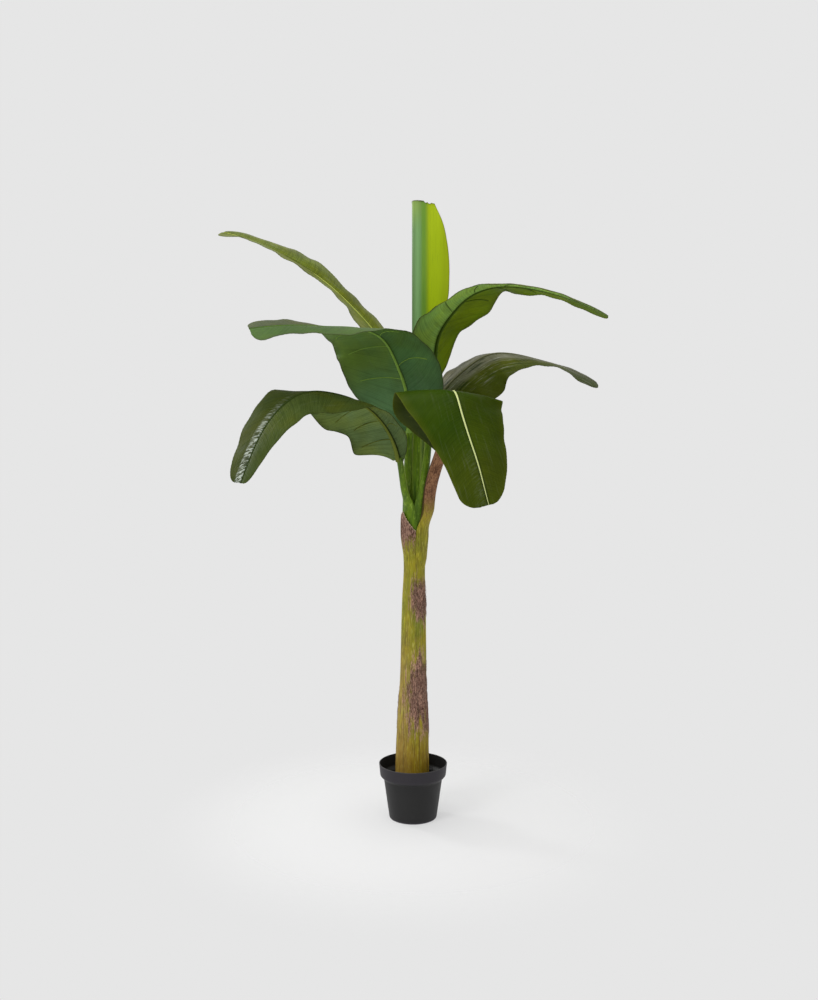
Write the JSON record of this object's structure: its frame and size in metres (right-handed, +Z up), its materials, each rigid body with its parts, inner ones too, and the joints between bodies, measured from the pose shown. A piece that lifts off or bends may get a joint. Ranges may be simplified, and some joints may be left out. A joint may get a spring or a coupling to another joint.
{
  "type": "artificial banana plant",
  "caption": "Artificial banana plant in a round black nursery pot: fibrous trunk, arching stalks with broad drooping leaf blades and one upright rolled leaf.",
  "frame": {"origin": "middle of the flat underside of the pot, on the floor", "axes": "+Z up along the trunk, +Y away from someone who stands in front, +X to that person's right"},
  "size_m": [1.1639, 0.9564, 1.797],
  "materials": {
    "pot": "matte black moulded plastic",
    "filling": "dark rough cast filling",
    "trunk": "yellow-green moulded trunk with ridges and brown fibre",
    "sheath": "torn brown fibre",
    "stalk": "satin green plastic",
    "leaf": "dark green, satin sheen",
    "young_leaf": "yellow-green, satin sheen"
  },
  "bodies": {
    "root": {"pot": "pot", "pot_fill": "filling", "trunk": "trunk", "sheath_left": "sheath", "spear_stem": "stalk", "spear_leaf": "young_leaf", "stalk_upper_left": "stalk", "leaf_upper_left": "young_leaf", "stalk_mid_left": "stalk", "leaf_mid_left_inner": "leaf", "leaf_mid_left_outer": "leaf", "stalk_lower_left": "stalk", "leaf_lower_left_inner": "leaf", "leaf_lower_left_outer": "leaf", "stalk_front": "stalk", "leaf_front_inner": "leaf", "leaf_front_outer": "leaf", "stalk_lower_right": "stalk", "leaf_lower_right_inner": "leaf", "leaf_lower_right_outer": "leaf", "stalk_upper_right": "stalk", "leaf_upper_right_inner": "leaf", "leaf_upper_right_outer": "leaf", "stalk_back": "stalk", "leaf_back_inner": "leaf", "leaf_back_outer": "leaf"}
  },
  "joints": []
}
